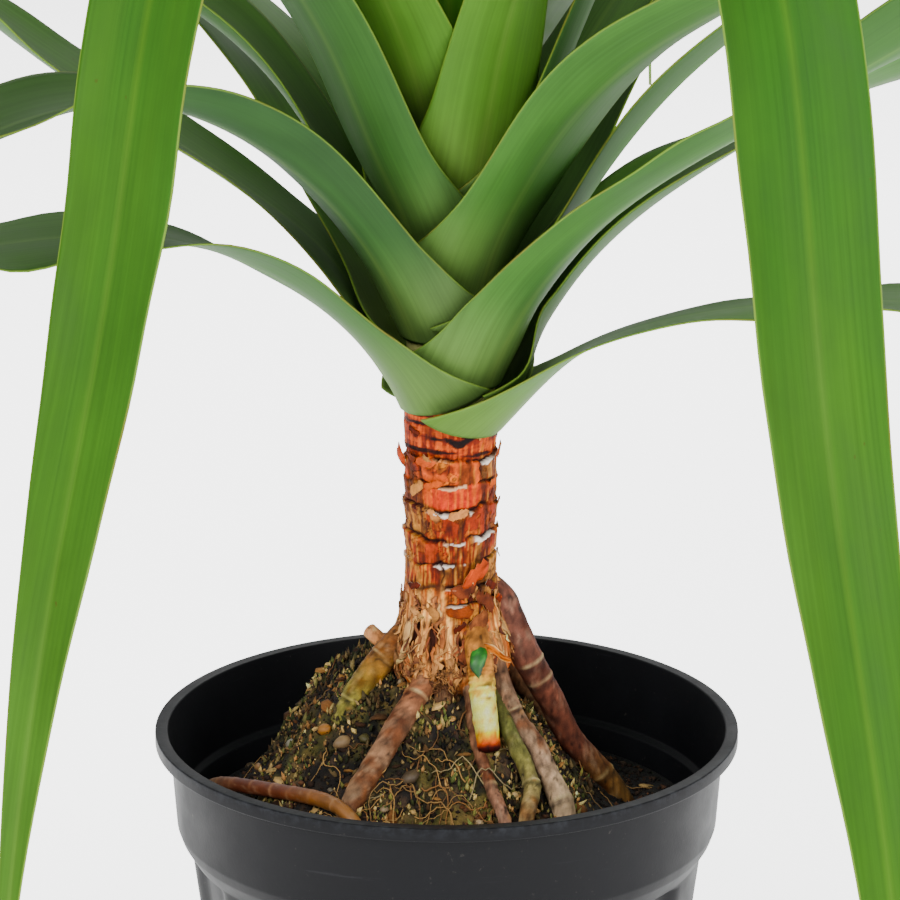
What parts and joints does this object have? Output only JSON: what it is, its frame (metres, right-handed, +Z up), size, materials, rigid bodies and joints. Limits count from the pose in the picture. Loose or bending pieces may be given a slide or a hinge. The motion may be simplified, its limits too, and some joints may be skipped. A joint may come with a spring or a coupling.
{
  "type": "potted dragon tree",
  "caption": "Dragon tree with arching strap leaves that clasp a ringed trunk on stilt roots, standing in soil in a tapered grooved pot with a flat base.",
  "frame": {"origin": "middle of the pot's flat base", "axes": "+Z up along the pot's axis, -Y towards the front of the plant, +X to its right"},
  "size_m": [0.9853, 0.9224, 0.7793],
  "materials": {
    "pot": "semi-matte black, moulded",
    "soil": "loose potting mix, mostly bark and peat",
    "trunk": "red-brown ringed bark",
    "surface_root": "smooth red-brown root skin",
    "leaf": "waxy green leaf skin"
  },
  "bodies": {
    "root": {"pot": "pot", "soil": "soil", "trunk": "trunk", "surface_root": "surface_root", "leaf_right_1": "leaf", "leaf_right_2": "leaf", "leaf_right_3": "leaf", "leaf_right_4": "leaf", "leaf_right_5": "leaf", "leaf_right_6": "leaf", "leaf_right_7": "leaf", "leaf_left_1": "leaf", "leaf_left_2": "leaf", "leaf_left_3": "leaf", "leaf_left_4": "leaf", "leaf_left_5": "leaf", "leaf_left_6": "leaf", "leaf_front_1": "leaf", "leaf_back_1": "leaf", "leaf_back_2": "leaf", "leaf_back_3": "leaf", "leaf_back_4": "leaf", "leaf_back_5": "leaf", "leaf_back_6": "leaf", "leaf_back_7": "leaf", "leaf_back_8": "leaf", "leaf_back_9": "leaf", "leaf_back_10": "leaf", "leaf_top_1": "leaf", "leaf_top_2": "leaf", "leaf_top_3": "leaf", "leaf_top_4": "leaf", "leaf_top_5": "leaf", "leaf_top_6": "leaf", "leaf_top_7": "leaf", "leaf_spear": "leaf"}
  },
  "joints": []
}
